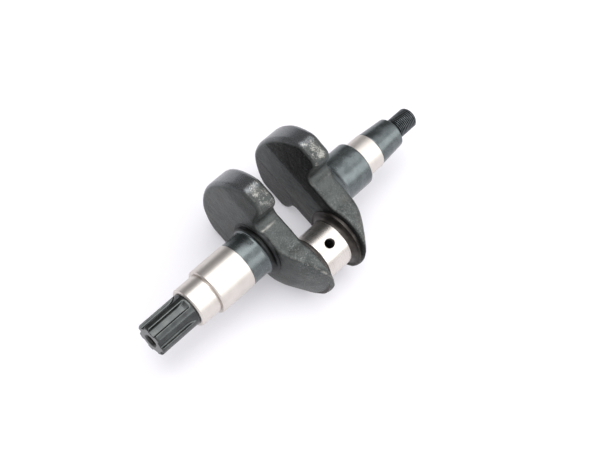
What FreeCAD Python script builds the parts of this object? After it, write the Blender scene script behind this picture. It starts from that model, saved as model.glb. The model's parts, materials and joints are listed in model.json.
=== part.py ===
import FreeCAD, Part
import math
import os

V = FreeCAD.Vector

os.makedirs("parts", exist_ok=True)

# ---------------------------------------------------------------------------
# Crankshaft of a small single-cylinder engine, lying on its side.
# X runs along the main axis from the splined output end to the flywheel end.
# Z is up.  The origin is on the main axis in the middle of the drive bearing
# seat.  Everything is built in the crank frame (crankpin towards -Y,
# counterweights towards +Y, x = 0 at the output-side edge of the drive
# bearing seat) and then turned about the main axis by the lie angle, so that
# the counterweights and the pin ends of the webs both rest on the ground.
# ---------------------------------------------------------------------------

# stations along the main axis
SPLINE_END = -50.0
SEAL_START = -17.0
SEAT_START = 0.0
SEAT_END = 29.0
ORIGIN_X = 14.5
PIN_MID = 84.0
FLY_SHANK_END = 148.5
FLY_SEAT_END = 164.2
TAPER_END = 187.5
THREAD_END = 208.0

# shaft diameters
SPLINE_D = 25.0
SPLINE_ROOT_D = 19.8
SPLINE_TEETH = 7
SPLINE_TOOTH_W = 4.4
SPLINE_RUNOUT = 8.0
SPLINE_STOP = 1.5
SPLINE_TURN = 10.0
SEAL_D = 30.0
SEAT_D = 35.0
SHANK_D = 34.4
FLY_SHANK_D = 35.0
FLY_SEAT_D = 28.0
TAPER_D = 27.4
TAPER_RATIO = 6.0
THREAD_D = 16.0
THREAD_PITCH = 1.5
THREAD_NECK_D = 13.8
THREAD_NECK_L = 2.5
THREAD_DEPTH = 0.61 * THREAD_PITCH
THREAD_CREST = 0.12 * THREAD_PITCH
THREAD_LEAD = 2.0
THREAD_CHAMFER = 1.2
CHAMFER = 1.0
EDGE_BREAK = 0.8
RELIEF_W = 0.9
RELIEF_DEPTH = 0.5
SHOULDER_R = 1.5
FLY_RELIEF_W = 1.2
FLY_RELIEF_DEPTH = 0.3
COLLAR_BREAK = 0.3

# crank throw
THROW = 31.0
PIN_D = 36.0
PIN_GROUND_HALF = 10.4
PIN_FILLET = 3.6
COLLAR_D = 47.0

# distances from the pin mid-plane to the faces of each web
D_COLLAR = 14.0
D_INNER = 15.0
D_WEB_OUTER = 34.5
D_CW_OUTER = 36.0
D_BOSS = 39.6
BOSS_D = 44.0
BOSS_LIP_H = 2.0
BOSS_LIP_L = 2.2
BOSS_GROOVE_D = 37.8
BOSS_GROOVE_W = 0.8
BOSS_BREAK = 0.6

# web outline, measured from the main axis
CW_R = 54.5
CW_HALF = 43.0
STEP_Y_UPPER = 13.4
STEP_Y_LOWER = 6.4
WAIST_HALF = 22.5
NOSE_R = 28.0
NOSE_TURNED_R = 57.0
CONE_START_R = 31.0
CONE_SLOPE = 0.78
CONE_STOP = 5.0
RIM_ROUND = 4.0
EDGE_CHAMFER = 2.4
PLATEAU_OUT = 25.0
PLATEAU_IN = 12.0
FLANK_IN = 18.4
FLANK_OUT = 34.3
SPLIT_Y = 4.0
NECK_FILLET = 12.0
STEP_FILLET = 5.5
VALLEY_DIP = 0.3
CW_HEEL_R = 7.2
CW_CORNER_R = 10.0
SHANK_FILLET = 1.2
HEEL_SET = 0.4
REACH = 100.0

# oil drillings
GALLERY_D = 6.5
OIL_HOLE_D = 6.0
OIL_HOLE_SINK_D = 7.4
OIL_HOLE_TILT = 4.0
GALLERY_START_X = 15.0
PLUG_D = 8.0
PLUG_L = 5.0
PLUG_RECESS = 2.0
BORE_OVERRUN = 8.0
SINK_SET = 0.3

# centre thread in the output end (M10)
CENTRE_DRILL_D = 8.5
CENTRE_DEPTH = 28.0
CENTRE_SINK_D = 11.0

# keyway for a disc key on the hidden side of the taper
KEY_W = 4.0
KEY_DISC_R = 9.5
KEY_DEPTH = 3.0


def edges_from(path, lift):
    """Edges of a path: (a, b) runs straight to a point, (a, b, c, d) runs an arc through
    (a, b) to (c, d).  lift turns the two numbers into a space point."""
    out = []
    here = path[0]
    for step in path[1:]:
        there = step[-2:]
        if len(step) == 4:
            arc = Part.Arc(lift(*here), lift(*step[:2]), lift(*there))
            out.append(arc.toShape())
        else:
            out.append(Part.makeLine(lift(*here), lift(*there)))
        here = there
    return out


def turned(path):
    """Solid of revolution about the main axis from an (x, radius) path."""
    edges = edges_from(list(path) + [path[0]], lambda x, r: V(x, r, 0))
    face = Part.Face(Part.Wire(edges))
    return face.revolve(V(0, 0, 0), V(1, 0, 0), 360)


def on_circle(cx, cy, r, a):
    a = math.radians(a)
    return (cx + r * math.cos(a), cy + r * math.sin(a))


def arc_to(cx, cy, r, a0, a1):
    """Arc step of a path about (cx, cy) from angle a0 to a1, in degrees."""
    return on_circle(cx, cy, r, (a0 + a1) / 2) + on_circle(cx, cy, r, a1)


def rod(d, start, end):
    """Cylinder of diameter d between two points."""
    axis = end.sub(start)
    return Part.makeCylinder(d / 2.0, axis.Length, start, axis)


def mirror(shape):
    """The same shape on the other side of the pin mid-plane."""
    return shape.mirror(V(PIN_MID, 0, 0), V(1, 0, 0))


def half_outline(step_y):
    """Path from the nose to the counterweight tip, on the +Z side."""
    cut_y = -(NOSE_TURNED_R ** 2 + THROW ** 2 - NOSE_R ** 2) / (2 * THROW)
    cut_z = math.sqrt(NOSE_TURNED_R ** 2 - cut_y ** 2)
    tip_a = math.degrees(math.atan2(cut_z, cut_y))
    nose_a0 = math.degrees(math.atan2(cut_z, cut_y + THROW))
    # fillet between the nose circle and the straight waist
    fc_z = WAIST_HALF + NECK_FILLET
    fc_y = -THROW + math.sqrt((NOSE_R + NECK_FILLET) ** 2 - fc_z ** 2)
    nose_a1 = math.degrees(math.atan2(fc_z, fc_y + THROW))
    # rounded corner between flank and turned rim
    cc_z = CW_HALF - CW_CORNER_R
    cc_y = math.sqrt((CW_R - CW_CORNER_R) ** 2 - cc_z ** 2)
    rim_a = math.degrees(math.atan2(cc_z, cc_y))
    # shallow valley between the waist and the heel
    lip_a = -90 - math.degrees(math.acos(1 - VALLEY_DIP / STEP_FILLET))
    valley_y = step_y - STEP_FILLET
    valley_z = WAIST_HALF + STEP_FILLET - VALLEY_DIP
    heel_y = step_y + HEEL_SET + CW_HEEL_R
    heel_z = CW_HALF - CW_HEEL_R
    return [
        (-NOSE_TURNED_R, 0.0),
        arc_to(0, 0, NOSE_TURNED_R, 180, tip_a),
        arc_to(-THROW, 0, NOSE_R, nose_a0, nose_a1),
        arc_to(fc_y, fc_z, NECK_FILLET, 180 + nose_a1, 270),
        on_circle(valley_y, valley_z, STEP_FILLET, lip_a),
        arc_to(valley_y, valley_z, STEP_FILLET, lip_a, 0),
        (step_y + HEEL_SET, heel_z),
        arc_to(heel_y, heel_z, CW_HEEL_R, 180, 90),
        (cc_y, CW_HALF),
        arc_to(cc_y, cc_z, CW_CORNER_R, 90, rim_a),
        arc_to(0, 0, CW_R, rim_a, 0),
    ]


def web_slab(x0, x1):
    """The whole web outline, nose to counterweight, run from x0 to x1."""
    upper = edges_from(half_outline(STEP_Y_UPPER), lambda y, z: V(x0, y, z))
    lower = edges_from(half_outline(STEP_Y_LOWER), lambda y, z: V(x0, y, -z))
    lower.reverse()
    wire = Part.Wire(Part.__sortEdges__(upper + lower))
    return Part.Face(wire).extrude(V(x1 - x0, 0, 0))


def lie_angle():
    """Turn about the main axis that rests both the lower heels and the noses on the ground:
    the common tangent of the heel circle and the nose circle becomes level."""
    heel_y = STEP_Y_LOWER + HEEL_SET + CW_HEEL_R
    heel_z = CW_HALF - CW_HEEL_R
    span = heel_y + THROW
    reach = math.hypot(heel_z, span)
    return math.degrees(math.acos((NOSE_R - CW_HEEL_R) / reach) - math.atan2(span, heel_z))


def puck():
    """Disc about the main axis with rounded rims, drive side."""
    x_in = PIN_MID - D_INNER
    x_out = PIN_MID - D_CW_OUTER
    r = RIM_ROUND
    return turned([
        (x_out, 0.0),
        (x_out, CW_R - r),
        arc_to(x_out + r, CW_R - r, r, 180, 90),
        (x_in - r, CW_R),
        arc_to(x_in - r, CW_R - r, r, 90, 0),
        (x_in, 0.0),
    ])


def draft_block():
    """Cross-section of the counterweight in X-Z, run along Y, drive side."""
    h = CW_HALF
    c = EDGE_CHAMFER
    m = PIN_MID
    half = [
        (m - D_CW_OUTER, PLATEAU_OUT),
        (m - FLANK_OUT, h - c),
        (m - FLANK_OUT + c, h),
        (m - FLANK_IN - c, h),
        (m - FLANK_IN, h - c),
        (m - D_INNER, PLATEAU_IN),
    ]
    ring = half + [(x, -z) for x, z in reversed(half)]
    pts = [V(x, -REACH, z) for x, z in ring]
    pts.append(pts[0])
    face = Part.Face(Part.makePolygon(pts))
    return face.extrude(V(0, 2 * REACH, 0))


def nose_cone():
    """Keeps only what lies inside the bevelled outer side of the nose."""
    x_flat = PIN_MID - D_WEB_OUTER
    x_stop = PIN_MID - CONE_STOP
    r_far = CONE_START_R + (D_WEB_OUTER - CONE_STOP) / CONE_SLOPE
    pts = [
        (x_flat, 0.0),
        (x_flat, CONE_START_R),
        (x_stop, r_far),
        (x_stop, 0.0),
    ]
    return turned(pts)


def half_space(y0, y1):
    return Part.makeBox(2 * REACH, y1 - y0, 2 * REACH, V(PIN_MID - REACH, y0, -REACH))


# --- drive-side web and counterweight --------------------------------------
slab = web_slab(PIN_MID - D_CW_OUTER, PIN_MID - D_INNER)

counterweight = slab.common(puck()).common(draft_block())
counterweight = counterweight.common(half_space(SPLIT_Y, REACH))

web = slab.common(half_space(-REACH, SPLIT_Y)).common(nose_cone())
x_boss = PIN_MID - D_BOSS
x_web = PIN_MID - D_WEB_OUTER
r_lip = SHANK_D / 2 + BOSS_LIP_H
x_lip = x_boss + BOSS_LIP_L
x_groove = x_lip + BOSS_GROOVE_W
boss = turned([
    (x_boss, 0.0),
    (x_boss, r_lip - EDGE_BREAK),
    (x_boss + EDGE_BREAK, r_lip),
    (x_lip, r_lip),
    (x_lip, BOSS_GROOVE_D / 2),
    (x_groove, BOSS_GROOVE_D / 2),
    (x_groove, BOSS_D / 2 - BOSS_BREAK),
    (x_groove + BOSS_BREAK, BOSS_D / 2),
    (x_web, BOSS_D / 2),
    (x_web, 0.0),
])
boss = boss.cut(counterweight)
boss_cone = turned([
    (x_boss, 0.0),
    (x_boss, FLY_SHANK_D / 2 + SHANK_FILLET),
    (x_web, BOSS_D / 2),
    (x_web, 0.0),
])
boss_cone = boss_cone.cut(counterweight)

# --- crankpin and its collars ----------------------------------------------
collar = turned([
    (PIN_MID - D_INNER, 0.0),
    (PIN_MID - D_INNER, COLLAR_D / 2),
    (PIN_MID - D_COLLAR - COLLAR_BREAK, COLLAR_D / 2),
    (PIN_MID - D_COLLAR, COLLAR_D / 2 - COLLAR_BREAK),
    (PIN_MID - D_COLLAR, PIN_D / 2 + PIN_FILLET),
    arc_to(PIN_MID - PIN_GROUND_HALF, PIN_D / 2 + PIN_FILLET, PIN_FILLET, 180, 270),
    (PIN_MID - PIN_GROUND_HALF, 0.0),
]).translated(V(0, -THROW, 0))

pin = Part.makeCylinder(PIN_D / 2, 2 * PIN_GROUND_HALF,
                        V(PIN_MID - PIN_GROUND_HALF, -THROW, 0), V(1, 0, 0))

# --- shaft sections ---------------------------------------------------------
c = CHAMFER
seal_seat = turned([
    (SEAL_START, 0.0),
    (SEAL_START, SEAL_D / 2 - c),
    (SEAL_START + c, SEAL_D / 2),
    (SEAT_START - RELIEF_W, SEAL_D / 2),
    (SEAT_START - RELIEF_W, SEAL_D / 2 - RELIEF_DEPTH),
    (SEAT_START, SEAL_D / 2 - RELIEF_DEPTH),
    (SEAT_START, 0.0),
])
bearing_seat = turned([
    (SEAT_START, 0.0),
    (SEAT_START, SEAT_D / 2 - EDGE_BREAK),
    (SEAT_START + EDGE_BREAK, SEAT_D / 2),
    (SEAT_END, SEAT_D / 2),
    (SEAT_END, 0.0),
])
drive_shank = turned([
    (SEAT_END, 0.0),
    (SEAT_END, SHANK_D / 2),
    (x_boss - SHANK_FILLET, SHANK_D / 2),
    arc_to(x_boss - SHANK_FILLET, SHANK_D / 2 + SHANK_FILLET, SHANK_FILLET, 270, 360),
    (x_boss, 0.0),
])

x_fly = PIN_MID + D_BOSS
fly_shank = turned([
    (x_fly, 0.0),
    (x_fly, FLY_SHANK_D / 2 + SHANK_FILLET),
    arc_to(x_fly + SHANK_FILLET, FLY_SHANK_D / 2 + SHANK_FILLET, SHANK_FILLET, 180, 270),
    (FLY_SHANK_END - SHOULDER_R, FLY_SHANK_D / 2),
    arc_to(FLY_SHANK_END - SHOULDER_R, FLY_SHANK_D / 2 - SHOULDER_R, SHOULDER_R, 90, 0),
    (FLY_SHANK_END, 0.0),
])
fly_seat = turned([
    (FLY_SHANK_END, 0.0),
    (FLY_SHANK_END, FLY_SEAT_D / 2 - FLY_RELIEF_DEPTH),
    (FLY_SHANK_END + FLY_RELIEF_W, FLY_SEAT_D / 2 - FLY_RELIEF_DEPTH),
    (FLY_SHANK_END + FLY_RELIEF_W, FLY_SEAT_D / 2),
    (FLY_SEAT_END, FLY_SEAT_D / 2),
    (FLY_SEAT_END, 0.0),
])
taper_small = TAPER_D - (TAPER_END - FLY_SEAT_END) / TAPER_RATIO
taper = turned([
    (FLY_SEAT_END, 0.0),
    (FLY_SEAT_END, TAPER_D / 2),
    (TAPER_END - c, taper_small / 2 + c / (2 * TAPER_RATIO)),
    (TAPER_END, taper_small / 2 - c),
    (TAPER_END, 0.0),
])
key_x = (FLY_SEAT_END + TAPER_END) / 2
key_surface = (TAPER_D + taper_small) / 4
key_centre = key_surface - KEY_DEPTH + KEY_DISC_R
key_cutter = Part.makeCylinder(KEY_DISC_R, KEY_W,
                               V(key_x, -KEY_W / 2, -key_centre), V(0, 1, 0))
taper = taper.cut(key_cutter)

# splined output end with run-out and a tapped centre
spline = turned([
    (SPLINE_END, 0.0),
    (SPLINE_END, SPLINE_D / 2 - c),
    (SPLINE_END + c, SPLINE_D / 2),
    (SEAL_START, SPLINE_D / 2),
    (SEAL_START, 0.0),
])
depth = (SPLINE_D - SPLINE_ROOT_D) / 2
run_r = (SPLINE_RUNOUT ** 2 + depth ** 2) / (2 * depth)
run_a = math.degrees(math.asin(SPLINE_RUNOUT / run_r))
run_x = SEAL_START - SPLINE_STOP - SPLINE_RUNOUT
core_pts = [
    (SPLINE_END - 1, 0.0),
    (SPLINE_END - 1, SPLINE_ROOT_D / 2),
    (run_x, SPLINE_ROOT_D / 2),
    arc_to(run_x, SPLINE_ROOT_D / 2 + run_r, run_r, -90, -90 + run_a),
    (SEAL_START + 1, SPLINE_D / 2),
    (SEAL_START + 1, 0.0),
]
keep = turned(core_pts)
for i in range(SPLINE_TEETH):
    tooth = Part.makeBox(SEAL_START - SPLINE_END + 2, SPLINE_TOOTH_W, SPLINE_D,
                         V(SPLINE_END - 1, -SPLINE_TOOTH_W / 2, 0))
    tooth.rotate(V(0, 0, 0), V(1, 0, 0), SPLINE_TURN + 360.0 * i / SPLINE_TEETH)
    keep = keep.fuse(tooth)
spline = spline.common(keep)
centre_hole = turned([
    (SPLINE_END - 0.1, 0.0),
    (SPLINE_END - 0.1, CENTRE_SINK_D / 2 + 0.1),
    (SPLINE_END + (CENTRE_SINK_D - CENTRE_DRILL_D) / 2, CENTRE_DRILL_D / 2),
    (SPLINE_END + CENTRE_DEPTH, CENTRE_DRILL_D / 2),
    (SPLINE_END + CENTRE_DEPTH + 2.4, 0.0),
])
spline = spline.cut(centre_hole)

# threaded end
thread_x0 = TAPER_END
neck_r = THREAD_NECK_D / 2
thread_pts = [(thread_x0, 0.0), (thread_x0, neck_r)]
x = thread_x0 + THREAD_NECK_L
thread_pts.append((x, neck_r))
root_r = THREAD_D / 2 - THREAD_DEPTH
rise = (THREAD_PITCH - THREAD_CREST) / 2
turns = int((THREAD_END - THREAD_LEAD - x) / THREAD_PITCH)
for i in range(turns):
    thread_pts.append((x + rise, THREAD_D / 2))
    thread_pts.append((x + rise + THREAD_CREST, THREAD_D / 2))
    x = x + THREAD_PITCH
    thread_pts.append((x, root_r))
thread_pts.append((THREAD_END - THREAD_CHAMFER, root_r))
thread_pts.append((THREAD_END, root_r - THREAD_CHAMFER))
thread_pts.append((THREAD_END, 0.0))
thread = turned(thread_pts)

# --- oil drillings -----------------------------------------------------------
start = V(GALLERY_START_X, 0, 0)
through = V(PIN_MID, -THROW, 0)
direction = through.sub(start)
direction.normalize()
slope = THROW / (PIN_MID - GALLERY_START_X)


def on_gallery(x_pos):
    return V(x_pos, -slope * (x_pos - GALLERY_START_X), 0)


def bevel_gap(x_pos):
    """Distance of the gallery line inside the flywheel web's bevel."""
    y = on_gallery(x_pos).y
    limit = D_WEB_OUTER - CONE_SLOPE * (abs(y) - CONE_START_R)
    return PIN_MID + limit - x_pos


x_exit = PIN_MID + D_INNER
while bevel_gap(x_exit) > 0:
    x_exit = x_exit + 0.05
exit_point = on_gallery(x_exit)
gallery = rod(GALLERY_D, start, on_gallery(x_exit + BORE_OVERRUN))
plug_in = PLUG_L + PLUG_RECESS
plug_inner = exit_point.sub(V(direction.x * plug_in, direction.y * plug_in, 0))
plug_bore = rod(PLUG_D, plug_inner, on_gallery(x_exit + BORE_OVERRUN))
plug_outer = plug_inner.add(V(direction.x * PLUG_L, direction.y * PLUG_L, 0))
oil_plug = rod(PLUG_D, plug_inner, plug_outer)

tilt = math.radians(OIL_HOLE_TILT)
pin_out = V(0, math.sin(tilt), math.cos(tilt))
pin_centre = V(PIN_MID, -THROW, 0)
pin_hole = rod(OIL_HOLE_D, pin_centre, pin_centre.add(V(0, pin_out.y * PIN_D, pin_out.z * PIN_D)))
sink_flare = (OIL_HOLE_SINK_D - OIL_HOLE_D) / 2
sink_depth = sink_flare + SINK_SET
sink_r = PIN_D / 2 - sink_depth
sink = Part.makeCone(OIL_HOLE_D / 2, OIL_HOLE_D / 2 + 2 * sink_depth, 2 * sink_depth,
                     pin_centre.add(V(0, pin_out.y * sink_r, pin_out.z * sink_r)), pin_out)
seat_hole = rod(OIL_HOLE_D, V(GALLERY_START_X, 0, 0), V(GALLERY_START_X, 0, -SEAT_D))
seat_sink = Part.makeCone(OIL_HOLE_D / 2, OIL_HOLE_D / 2 + 2 * sink_depth, 2 * sink_depth,
                          V(GALLERY_START_X, 0, -(SEAT_D / 2 - sink_depth)), V(0, 0, -1))
gallery_end = Part.makeSphere(GALLERY_D / 2, start)

bearing_seat = bearing_seat.cut(gallery).cut(seat_hole).cut(seat_sink).cut(gallery_end)
pin = pin.cut(gallery).cut(pin_hole).cut(sink)

print("lie angle", round(lie_angle(), 3))
nodes = {
    "spline_stub": spline,
    "seal_seat": seal_seat,
    "drive_bearing_seat": bearing_seat,
    "drive_shank": drive_shank.cut(gallery),
    "drive_boss": boss.cut(gallery),
    "drive_web": web.cut(gallery),
    "drive_counterweight": counterweight,
    "drive_pin_collar": collar.cut(gallery),
    "crankpin": pin,
    "flywheel_pin_collar": mirror(collar).cut(gallery),
    "flywheel_web": mirror(web).cut(gallery).cut(plug_bore),
    "flywheel_counterweight": mirror(counterweight),
    "flywheel_boss": mirror(boss_cone),
    "flywheel_shank": fly_shank,
    "flywheel_seal_seat": fly_seat,
    "flywheel_taper": taper,
    "flywheel_thread": thread,
    "oil_gallery_plug": oil_plug,
}

for name, shape in nodes.items():
    shape = shape.copy()
    shape.rotate(V(0, 0, 0), V(1, 0, 0), lie_angle())
    shape.translate(V(-ORIGIN_X, 0, 0))
    if len(shape.Solids) == 1:
        shape = shape.Solids[0]
    if not shape.isValid():
        print("not valid:", name)
    box = shape.BoundBox
    print(name, len(shape.Solids), round(shape.Volume, 1),
          [round(v, 2) for v in (box.XMin, box.XMax, box.YMin, box.YMax, box.ZMin, box.ZMax)])
    shape.exportStep("parts/" + name + ".step")
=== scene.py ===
import json
import math

import bpy
import numpy as np
from mathutils import Matrix, Vector, noise


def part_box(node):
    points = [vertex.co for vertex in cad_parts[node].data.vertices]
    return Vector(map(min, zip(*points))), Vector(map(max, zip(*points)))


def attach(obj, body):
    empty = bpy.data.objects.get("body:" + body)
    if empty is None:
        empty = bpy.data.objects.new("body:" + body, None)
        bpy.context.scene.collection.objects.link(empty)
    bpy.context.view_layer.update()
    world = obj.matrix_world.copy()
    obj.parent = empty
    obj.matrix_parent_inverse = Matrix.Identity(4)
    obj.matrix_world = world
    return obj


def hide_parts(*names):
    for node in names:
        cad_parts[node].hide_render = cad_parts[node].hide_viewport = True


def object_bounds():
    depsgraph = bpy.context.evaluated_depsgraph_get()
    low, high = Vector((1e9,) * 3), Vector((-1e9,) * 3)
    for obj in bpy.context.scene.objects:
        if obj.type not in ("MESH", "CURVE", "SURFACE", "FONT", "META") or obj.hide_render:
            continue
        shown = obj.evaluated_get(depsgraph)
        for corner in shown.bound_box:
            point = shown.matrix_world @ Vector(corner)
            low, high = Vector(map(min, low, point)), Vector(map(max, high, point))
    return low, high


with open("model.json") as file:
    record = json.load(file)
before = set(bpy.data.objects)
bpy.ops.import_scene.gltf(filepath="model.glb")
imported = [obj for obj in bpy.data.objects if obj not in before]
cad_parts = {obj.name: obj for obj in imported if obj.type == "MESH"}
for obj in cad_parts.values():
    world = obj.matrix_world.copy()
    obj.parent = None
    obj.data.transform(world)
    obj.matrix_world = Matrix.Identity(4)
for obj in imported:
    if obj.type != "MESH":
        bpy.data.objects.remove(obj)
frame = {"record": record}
CAD_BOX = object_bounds()

# ---------------------------------------------------------------------------
# Dimensions in millimetres, in the crank frame: x runs along the main axis from
# the output-side edge of the drive bearing seat, the crankpin lies towards -y
# and the counterweights towards +y.
# ---------------------------------------------------------------------------
MM = 0.001
ORIGIN_X = 14.5
SPLINE_END = -50.0
SEAL_START = -17.0
SEAT_END = 29.0
PIN_MID = 84.0
FLY_SHANK_END = 148.5
FLY_SEAT_END = 164.2
TAPER_END = 187.5
THREAD_END = 208.0

SPLINE_R = 12.5
SPLINE_ROOT_R = 9.9
SPLINE_ROOT_ROUND = 0.7
SPLINE_TEETH = 7
SPLINE_TOOTH_W = 4.4
SPLINE_RUNOUT = 8.0
SPLINE_TURN = 10.0
CENTRE_HOLE_R = 4.25
CENTRE_SINK_R = 5.5
CENTRE_DEPTH = 28.0
SEAL_R = 15.0
SEAT_R = 17.5
SHANK_R = 17.2
FLY_SHANK_R = 17.5
FLY_SHANK_ROUND = 1.5
FLY_SEAT_R = 14.0
TAPER_R = 13.7
TAPER_SMALL_R = TAPER_R - (TAPER_END - FLY_SEAT_END) / 12.0
KEY_DISC_R = 9.5
KEY_DEPTH = 3.0
KEY_HALF_W = 2.0
THREAD_R = 8.0
THREAD_NECK_R = 6.9
THREAD_NECK_L = 2.5
THREAD_PITCH = 1.5
THREAD_DEPTH = 0.61 * THREAD_PITCH
THREAD_ROOT_FLAT = 0.08
THREAD_FLANK = 0.80
THREAD_CHAMFER = 1.3

THROW = 31.0
PIN_R = 18.0
PIN_GROUND_HALF = 10.4
PIN_FILLET = 3.6
COLLAR_R = 23.5
D_COLLAR = 14.0
D_INNER = 15.0
D_WEB_OUTER = 34.5
D_CW_OUTER = 36.0
D_BOSS = 39.6
BOSS_R = 22.0
BOSS_LIP_R = 19.2
BOSS_GROOVE_R = 18.6
BOSS_LIP_L = 2.2
BOSS_GROOVE_W = 0.8
BOSS_BREAK = 0.8
BOSS_SEAT_DEPTH = 2.5
BOSS_FADE_FROM = 45.0
BOSS_FADE_TO = 68.0
BOSS_BACK_FROM = 220.0
BOSS_BACK_TO = 250.0
BOSS_SWEEP_R = 5.0
BOSS_SWEEP_L = 1.6
BOSS_SWEEP_JOIN = -90 - math.degrees(math.asin(BOSS_SWEEP_L / BOSS_SWEEP_R))
BOSS_SWEEP_WEB = -160.0

CW_R = 54.5
CW_HALF = 43.0
STEP_Y_UPPER = 13.4
STEP_Y_LOWER = 6.4
HEEL_SET = 0.4
WAIST_HALF = 22.5
NOSE_R = 28.0
NOSE_TURNED_R = 57.0
FACE_STEP_FROM = 3.5
FACE_STEP_TO = 8.0
TIP_FROM = -30.0
TIP_TO = -46.0
CONE_START_R = 31.0
CONE_SLOPE = 0.78
PLATEAU_OUT = 25.0
PLATEAU_IN = 12.0
FLANK_IN = 18.4
FLANK_OUT = 34.3
FLANK_EDGE_Z = 40.6
NECK_FILLET = 12.0
STEP_FILLET = 5.5
VALLEY_DIP = 0.3
CW_HEEL_R = 7.2
CW_CORNER_R = 10.0
FORGED_ROUND = 2.4
RIM_ROUND = 4.0
CONE_ROUND = 1.6
CONE_BLEND = 6.5
NOSE_ROUND = 1.0

GALLERY_START_X = 15.0
PLUG_R = 4.0
PLUG_INNER_X = 101.5
OIL_HOLE_R = 3.0
OIL_SINK_DEPTH = 1.0
OIL_DRILL_PROUD = 0.6
OIL_HOLE_TILT = 4.0

# Forged skin: heights of its waves, grain and chips, how far it lies inside, and the size of a
# bare patch, in millimetres.  The crease highlights are strengths of the painted highlight line at the
# waist.
SKIN_WAVE = 0.16
SKIN_GRAIN = 0.07
SKIN_CHIP = 0.12
SKIN_SET_BACK = 0.10
BARE_PATCH = 5.0
DRIVE_CREASE_HIGHLIGHT = 1.0
FLYWHEEL_CREASE_HIGHLIGHT = 0.15

WEB_CELL = 0.62
WEB_LOW = (12.5, -60, -46)
WEB_HIGH = (38.5, 57.5, 46)
SPLINE_CELL = 0.4
LATHE_STEPS = 180


def lie_angle():
    """Turn of the crank about its main axis, read from the crankpin mount."""
    for mount in frame["record"]["mounts"]:
        if mount["name"] == "crankpin_bearing":
            pos = mount["pos_m"]
            return math.atan2(-pos[2], -pos[1])
    raise ValueError("no crankpin_bearing mount")


LIE = lie_angle()
CRANK = Matrix.Rotation(LIE, 4, "X") @ Matrix.Translation((-ORIGIN_X * MM, 0, 0))


def placed(points):
    """Crank-frame points in millimetres as part-frame points in metres."""
    turn = np.array(CRANK.to_3x3())
    shift = np.array(CRANK.translation)
    return (np.asarray(points) * MM) @ turn.T + shift


# ---------------------------------------------------------------------------
# Mesh helpers
# ---------------------------------------------------------------------------
def add_mesh(name, points, faces, sharp_deg=32.0):
    mesh = bpy.data.meshes.new(name)
    mesh.from_pydata([tuple(p) for p in placed(points)], [], faces)
    mesh.validate()
    mesh.shade_smooth()
    mesh.set_sharp_from_angle(angle=math.radians(sharp_deg))
    obj = bpy.data.objects.new(name, mesh)
    bpy.context.scene.collection.objects.link(obj)
    return obj


def finish_piece(obj, material, slot, *nodes):
    obj.data.materials.append(material)
    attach(obj, "root")
    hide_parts(*nodes)
    return obj


def softened(profile, radius):
    """Replaces the corners of an (x, r) profile by small arcs, with a holding point each side."""
    out = [profile[0]]
    for before, here, after in zip(profile, profile[1:], profile[2:]):
        a = Vector(before) - Vector(here)
        b = Vector(after) - Vector(here)
        cut = min(radius, 0.3 * a.length, 0.3 * b.length)
        turn = math.pi - a.angle(b)
        if turn < math.radians(3):
            out.append(here)
            continue
        a.normalize()
        b.normalize()
        corner = Vector(here)
        out.append(tuple(corner + a * cut * 1.6))
        for t in (0.0, 0.25, 0.5, 0.75, 1.0):
            near = corner + a * cut * (1 - t)
            far = corner + b * cut * t
            out.append(tuple(near.lerp(far, t)))
        out.append(tuple(corner + b * cut * 1.6))
    out.append(profile[-1])
    return out


def arc(cx, cr, radius, a0, a1, steps=8):
    """Points of an arc in the (x, r) plane, angles in degrees."""
    angles = np.radians(np.linspace(a0, a1, steps + 1))
    return [(cx + radius * math.cos(a), cr + radius * math.sin(a)) for a in angles]


def lathe(name, profile, centre_y=0.0, steps=LATHE_STEPS):
    """Turned piece about a line parallel to x.  Profile ends on the axis are closed with a fan."""
    angles = np.linspace(0, 2 * math.pi, steps, endpoint=False)
    ring = np.column_stack([np.cos(angles), np.sin(angles)])
    points = []
    starts = []
    for x, r in profile:
        starts.append(len(points))
        if r < 1e-6:
            points.append((x, centre_y, 0.0))
        else:
            points.extend((x, centre_y + r * c, r * s) for c, s in ring)
    faces = []
    for (i0, (_, r0)), (i1, (_, r1)) in zip(
        zip(starts, profile), zip(starts[1:], profile[1:])
    ):
        for k in range(steps):
            n = (k + 1) % steps
            if r0 < 1e-6:
                faces.append((i0, i1 + n, i1 + k))
            elif r1 < 1e-6:
                faces.append((i0 + k, i0 + n, i1))
            else:
                faces.append((i0 + k, i0 + n, i1 + n, i1 + k))
    return add_mesh(name, points, faces)


# ---------------------------------------------------------------------------
# Solids described by a distance field, meshed on a grid
# ---------------------------------------------------------------------------
def round_max(a, b, r):
    """Intersection of two distance fields with an edge of radius r."""
    over = np.hypot(np.maximum(a + r, 0), np.maximum(b + r, 0))
    return np.minimum(np.maximum(a, b), -r) + over


def smooth_step(lo, hi, value):
    t = np.clip((value - lo) / (hi - lo), 0, 1)
    return t * t * (3 - 2 * t)


CUBE = [(i, j, k) for i in (0, 1) for j in (0, 1) for k in (0, 1)]


def net_points(value, cells):
    """Mean of the crossings on the edges of each cell, in grid units."""
    total = np.zeros((len(cells), 3))
    hits = np.zeros(len(cells))
    for c in CUBE:
        for axis in range(3):
            if c[axis]:
                continue
            d = list(c)
            d[axis] = 1
            v0 = value[tuple((cells + c).T)]
            v1 = value[tuple((cells + d).T)]
            cross = (v0 < 0) != (v1 < 0)
            t = np.where(cross, v0 / np.where(cross, v0 - v1, 1), 0)
            spot = cells + np.array(c, float)
            spot[:, axis] += t
            total += np.where(cross[:, None], spot, 0)
            hits += cross
    return total / hits[:, None]


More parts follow.
